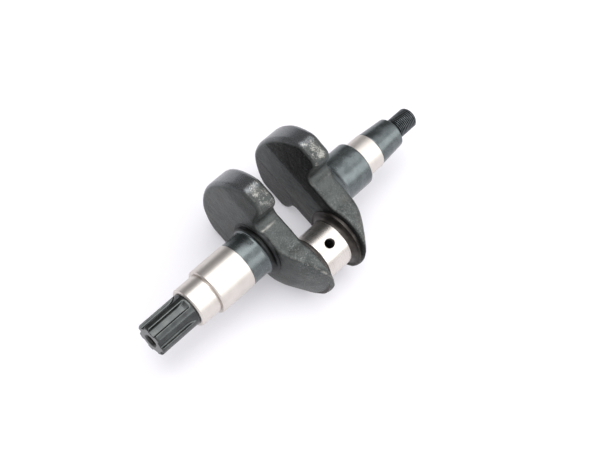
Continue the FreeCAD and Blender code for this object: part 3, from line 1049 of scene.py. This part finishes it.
PLUG_DARK = rgb(0.30, 0.29, 0.28)
PLUG_LIGHT = rgb(0.42, 0.41, 0.39)
FLOOR_DARK = rgb(0.545, 0.54, 0.56)
FLOOR_LIGHT = rgb(0.56, 0.555, 0.575)
FLOOR_GLOW_TINT = rgb(0.97, 0.955, 1.0)
SKY_TINT = rgb(0.99, 0.985, 1.0)

SEAT_GLOSS = 0.36
FLY_SEAT_GLOSS = 0.46
PIN_GLOSS = 0.27


def forged_base(n, grain):
    """Dark mottled skin with its turned and blasted stretches, and painted shade on the bevelled
    flanks.
    """
    mottle = n.ramp(n.noise(7.0, 4.0, 0.6), 0.35, 0.65)
    base = n.blend(mottle, FORGED_DARK, FORGED_LIGHT)
    base = n.blend(n.ramp(n.noise(16.0, 2.0), 0.52, 0.70, 0.0, 0.5), base, FORGED_WARM)
    base = n.blend(n.attribute("turned"), base, TURNED_DARK)
    # painted shade on the bevelled flanks, from the "scale" attribute
    base = n.blend(n.attribute("scale"), base, SCALE_AND_PAINTED_SHADE_DARK)
    blast = n.ramp(n.noise(0.85, 2.0, 0.6), 0.52, 0.66)
    blast = n.math("MULTIPLY", blast, n.ramp(n.noise(6.0, 2.0), 0.35, 0.60, 0.25, 1.0))
    blast = n.math("MULTIPLY", blast, n.attribute("grit"))
    base = n.blend(n.math("MULTIPLY", blast, 0.55), base, BLASTED)
    glint = n.ramp(grain, 0.56, 0.66)
    return n.blend(n.math("MULTIPLY", glint, 0.35), base, FORGED_GLINT)


def wear_and_painted_highlight(n, bare):
    """Where bare metal shows, rubbed patches and worn edges, together with the painted highlight lines
    at the waist crease and nose ridge.
    """
    flecks = n.math("ADD", n.noise(0.9, 3.0, 0.7), n.math("MULTIPLY", bare, 0.30))
    flecks = n.math("MULTIPLY", n.ramp(flecks, 0.66, 0.84), n.ramp(bare, 0.05, 0.5, 0.0, 0.75))
    edges = n.ramp(n.attribute("worn"), 0.35, 1.0)
    edges = n.math("MULTIPLY", edges, n.ramp(n.noise(2.2), 0.44, 0.62, 0.0, 0.36))
    # painted highlight lines at the crease and nose ridge, from the "rubbed" attribute
    painted_highlights = n.ramp(n.noise(2.2), 0.35, 0.60, 0.15, 0.75)
    painted_highlights = n.math("MULTIPLY", n.attribute("rubbed"), painted_highlights)
    return n.math("MAXIMUM", n.math("MAXIMUM", flecks, edges), painted_highlights, clamp=True)


def forged_steel():
    n = Nodes("forged_steel")
    turned = n.attribute("turned")
    bare = n.attribute("bare")
    grain = n.noise(0.9, 3.0, 0.65)
    wear_and_highlight = wear_and_painted_highlight(n, bare)
    colour = n.blend(wear_and_highlight, forged_base(n, grain), BARE_STEEL)
    rough = n.ramp(grain, 0.3, 0.7, 0.36, 0.52)
    rough = n.math("SUBTRACT", rough, n.math("MULTIPLY", turned, 0.16))
    rough = n.math("SUBTRACT", rough, n.math("MULTIPLY", wear_and_highlight, 0.12))
    coarse = n.math("SUBTRACT", 1.0, n.math("MULTIPLY", turned, 0.8))
    pits = n.math("MULTIPLY", n.noise(1.3, 4.0, 0.7), coarse)
    skin = n.bump(pits, 0.40, 0.65)
    lumps = n.math("ADD", n.noise(3.2, 2.0), n.math("MULTIPLY", bare, n.noise(1.1)))
    skin = n.bump(n.math("MULTIPLY", lumps, coarse), 0.55, 0.45, skin)
    metal = n.ramp(wear_and_highlight, 0, 1, 0.82, 0.98)
    return n.set(Base_Color=colour, Roughness=rough, Metallic=metal, Normal=skin)


def ground_steel(name, tint, gloss):
    """Cylindrically ground steel: fine rings that follow x, and faint stains."""
    n = Nodes(name)
    rings = n.noise(0.35, 2.0, 0.6, n.mapped((1, 0.02, 0.02)))
    stain = n.ramp(n.noise(11.0, 3.0), 0.48, 0.75, 0.0, 0.4)
    base = n.blend(n.ramp(rings, 0.3, 0.7, 0.6, 1.0), GROUND_SHADE, tint)
    base = n.blend(stain, base, GROUND_STAIN)
    rough = n.ramp(rings, 0.3, 0.7, gloss, gloss + 0.015)
    skin = n.bump(rings, 0.0005, 0.10)
    return n.set(Base_Color=base, Roughness=rough, Metallic=1.0, Normal=skin)


def black_oxide(name, dark, light, gloss, ring_mm, depth):
    """Turned steel with a black conversion coat."""
    n = Nodes(name)
    rings = n.noise(ring_mm, 2.0, 0.6, n.mapped((1, 0.04, 0.04)))
    cloud = n.ramp(n.noise(6.0, 3.0), 0.38, 0.66)
    base = n.blend(cloud, dark, light)
    scuffs = n.ramp(n.noise(1.1, 4.0, 0.7), 0.66, 0.74, 0.0, 0.25)
    base = n.blend(scuffs, base, FORGED_GLINT)
    rough = n.ramp(n.math("ADD", rings, cloud), 0.4, 1.5, gloss, gloss + 0.10)
    skin = n.bump(rings, depth, 0.5)
    skin = n.bump(n.noise(0.8, 3.0), 0.04, 0.3, skin)
    return n.set(Base_Color=base, Roughness=rough, Metallic=0.9, Normal=skin)


def heat_tinted_steel():
    """Turned pin collars with heat tint in the fillet."""
    n = Nodes("collar_steel")
    rings = n.noise(0.35, 2.0, 0.6, n.mapped((1, 0.06, 0.06)))
    base = n.blend(n.ramp(n.noise(5.0, 3.0), 0.35, 0.65), TINT_DARK, TINT_LIGHT)
    rough = n.ramp(rings, 0.3, 0.7, 0.34, 0.42)
    return n.set(Base_Color=base, Roughness=rough, Metallic=0.85, Normal=n.bump(rings, 0.03, 0.5))


def thread_steel():
    """Cut thread: black in the root, rubbed bright along the crest."""
    n = Nodes("black_thread")
    crest = n.ramp(n.attribute("crest"), 0.55, 1.0)
    base = n.blend(n.ramp(n.noise(1.5, 3.0), 0.3, 0.7), THREAD_DARK, THREAD_LIGHT)
    rubbed = n.math("MULTIPLY", crest, n.ramp(n.noise(2.5), 0.3, 0.6, 0.5, 1.0))
    base = n.blend(rubbed, base, THREAD_CREST)
    rough = n.ramp(crest, 0, 1, 0.42, 0.26)
    return n.set(Base_Color=base, Roughness=rough, Metallic=0.9, Normal=n.bump(n.noise(0.5), 0.02, 0.4))


def bore_painted_shade():
    """Near-black wall of a drilled hole: painted shade in the recess."""
    n = Nodes("bore_painted_shade")
    return n.set(Base_Color=n.blend(n.noise(0.6), BORE_SHADE_DARK, BORE_SHADE_LIGHT), Roughness=0.35)


def plug_steel():
    n = Nodes("plug_steel")
    base = n.blend(n.ramp(n.noise(1.2), 0.35, 0.65), PLUG_DARK, PLUG_LIGHT)
    return n.set(Base_Color=base, Roughness=0.38, Metallic=1.0, Normal=n.bump(n.noise(0.4), 0.02, 0.5))


def paper_white():
    """Back-lit white table."""
    n = Nodes("floor_white")
    n.shader.inputs["Emission Color"].default_value = FLOOR_GLOW_TINT
    n.shader.inputs["Emission Strength"].default_value = FLOOR_GLOW
    return n.set(Base_Color=n.blend(n.noise(40.0, 2.0), FLOOR_DARK, FLOOR_LIGHT), Roughness=0.75)


# ---------------------------------------------------------------------------
# Camera, floor and light
# ---------------------------------------------------------------------------
CAMERA_LENS = 73.54
CAMERA_SENSOR = 36.0
CAMERA_PLACE = (-0.27929, -0.23107, 0.74018)
CAMERA_FORWARD = (0.41053, 0.26360, -0.87288)
CAMERA_RIGHT = (0.68572, -0.72025, 0.10499)

LIGHT_TARGET = (0.06, 0.0, 0.0)
KEY_PLACE = (0.05, 0.35, 1.30)
KEY_SIZE = (1.3, 1.1)
KEY_POWER = 11.0
SIDE_PLACE = (0.85, -0.95, 0.75)
SIDE_SIZE = (1.1, 0.8)
SIDE_POWER = 5.0
FLOOR_HALF = 3.0
FLOOR_GLOW = 0.32

SKY_BRIGHT = 1.02
SKY_DIM = 0.23
SKY_DIM_SIDE = (0.0, 0.8, -0.5)
SKY_FALL_SPAN = (-0.52, 0.18)
ZENITH_BOOST = 1.6
ZENITH_SPAN = (0.35, 0.95)


def add_camera():
    data = bpy.data.cameras.new("camera")
    data.lens = CAMERA_LENS
    data.sensor_width = CAMERA_SENSOR
    cam = bpy.data.objects.new("camera", data)
    forward = Vector(CAMERA_FORWARD).normalized()
    right = Vector(CAMERA_RIGHT)
    right = (right - forward * right.dot(forward)).normalized()
    up = right.cross(forward)
    turn = Matrix((right, up, -forward)).transposed()
    cam.matrix_world = Matrix.Translation(CAMERA_PLACE) @ turn.to_4x4()
    bpy.context.scene.collection.objects.link(cam)
    bpy.context.scene.camera = cam


def area_light(name, place, size, power):
    data = bpy.data.lights.new(name, "AREA")
    data.shape = "RECTANGLE"
    data.size, data.size_y = size
    data.energy = power
    lamp = bpy.data.objects.new(name, data)
    aim = (Vector(LIGHT_TARGET) - Vector(place)).to_track_quat("-Z", "Y")
    lamp.matrix_world = Matrix.Translation(place) @ aim.to_matrix().to_4x4()
    bpy.context.scene.collection.objects.link(lamp)


def add_floor():
    """Square of white table under the lowest point of the part."""
    z = CAD_BOX[0][2]
    corners = [(x * FLOOR_HALF, y * FLOOR_HALF, z) for x, y in ((-1, -1), (1, -1), (1, 1), (-1, 1))]
    mesh = bpy.data.meshes.new("floor")
    mesh.from_pydata(corners, [], [(0, 1, 2, 3)])
    floor = bpy.data.objects.new("floor", mesh)
    floor.data.materials.append(paper_white())
    bpy.context.scene.collection.objects.link(floor)


def add_studio():
    add_floor()
    add_sky()
    area_light("key", KEY_PLACE, KEY_SIZE, KEY_POWER)
    area_light("side", SIDE_PLACE, SIDE_SIZE, SIDE_POWER)
    bpy.context.scene.view_settings.view_transform = "Standard"


def sky_ramp(tree, source, span, levels):
    """Smooth change of the surround's strength, from levels[0] to levels[1] over a span."""
    node = tree.nodes.new("ShaderNodeMapRange")
    node.interpolation_type = "SMOOTHSTEP"
    for key, value in zip(("From Min", "From Max", "To Min", "To Max"), span + levels):
        node.inputs[key].default_value = value
    tree.links.new(source, node.inputs["Value"])
    return node.outputs[0]


def add_sky():
    """White studio surround: dimmer behind the counterweights, brighter overhead."""
    world = bpy.data.worlds.new("studio")
    world.use_nodes = True
    tree = world.node_tree
    toward = tree.nodes.new("ShaderNodeTexCoord").outputs["Generated"]
    aim = tree.nodes.new("ShaderNodeVectorMath")
    aim.operation = "DOT_PRODUCT"
    aim.inputs[1].default_value = SKY_DIM_SIDE
    split = tree.nodes.new("ShaderNodeSeparateXYZ")
    level = tree.nodes.new("ShaderNodeMath")
    level.operation = "MULTIPLY"
    tree.links.new(toward, aim.inputs[0])
    tree.links.new(toward, split.inputs[0])
    fall = sky_ramp(tree, aim.outputs["Value"], SKY_FALL_SPAN, (SKY_BRIGHT, SKY_DIM))
    rise = sky_ramp(tree, split.outputs["Z"], ZENITH_SPAN, (1.0, ZENITH_BOOST))
    tree.links.new(fall, level.inputs[0])
    tree.links.new(rise, level.inputs[1])
    sky = tree.nodes["Background"]
    sky.inputs["Color"].default_value = SKY_TINT
    tree.links.new(level.outputs[0], sky.inputs["Strength"])
    bpy.context.scene.world = world


# ---------------------------------------------------------------------------
# Assembly
# ---------------------------------------------------------------------------
def build_forgings(oxide):
    forged = forged_steel()
    turned_scale = black_oxide("turned_scale", SCALE_AND_PAINTED_SHADE_DARK, SCALE_LIGHT, 0.40, 0.5, 0.02)
    tinted = heat_tinted_steel()
    drive = forged_throw("drive_throw_forging", throw_field, -1, 2.0, DRIVE_CREASE_HIGHLIGHT)
    finish_piece(drive, forged, "forged_steel", "drive_web", "drive_counterweight")
    fly = forged_throw("flywheel_throw_forging", flywheel_throw_field, 1, 9.0, FLYWHEEL_CREASE_HIGHLIGHT)
    finish_piece(fly, forged, "forged_steel", "flywheel_web", "flywheel_counterweight")
    finish_piece(drive_boss(), turned_scale, "forged_steel", "drive_boss")
    finish_piece(flywheel_boss(), oxide, "forged_steel", "flywheel_boss")
    finish_piece(collar("drive_collar_turned", -1), tinted, "forged_steel", "drive_pin_collar")
    finish_piece(collar("flywheel_collar_turned", 1), tinted, "forged_steel", "flywheel_pin_collar")


def build_ground_seats(bore):
    ground = ground_steel("ground_steel", GROUND_STEEL, SEAT_GLOSS)
    fly_ground = ground_steel("ground_steel_flywheel", GROUND_STEEL, FLY_SEAT_GLOSS)
    pin_ground = ground_steel("ground_steel_pin", GROUND_STEEL, PIN_GLOSS)
    pin = crankpin()
    finish_piece(pin, pin_ground, "ground_steel", "crankpin")
    pin.data.materials.append(bore)
    finish_piece(seal_seat(), ground, "ground_steel", "seal_seat")
    finish_piece(bearing_seat(), ground, "ground_steel", "drive_bearing_seat")
    finish_piece(flywheel_seat(), fly_ground, "ground_steel", "flywheel_seal_seat")


def build_black_ends(oxide, bore):
    spline_black = black_oxide("black_spline", SPLINE_DARK, SPLINE_LIGHT, 0.16, 0.4, 0.01)
    finish_piece(drive_shank(), oxide, "black_oxide", "drive_shank")
    finish_piece(flywheel_shank(), oxide, "black_oxide", "flywheel_shank")
    finish_piece(flywheel_taper(), oxide, "black_oxide", "flywheel_taper")
    stub = spline_stub()
    finish_piece(stub, spline_black, "black_spline", "spline_stub")
    stub.data.materials.append(bore)
    finish_piece(flywheel_thread(), thread_steel(), "black_thread", "flywheel_thread")


def build():
    oxide = black_oxide("black_oxide", OXIDE_DARK, OXIDE_LIGHT, 0.22, 0.5, 0.012)
    # bore: near-black material that paints shade into drilled holes
    bore = bore_painted_shade()
    build_forgings(oxide)
    build_ground_seats(bore)
    build_black_ends(oxide, bore)
    finish_piece(gallery_plug(), plug_steel(), "plug_steel", "oil_gallery_plug")


add_camera()
add_studio()
build()
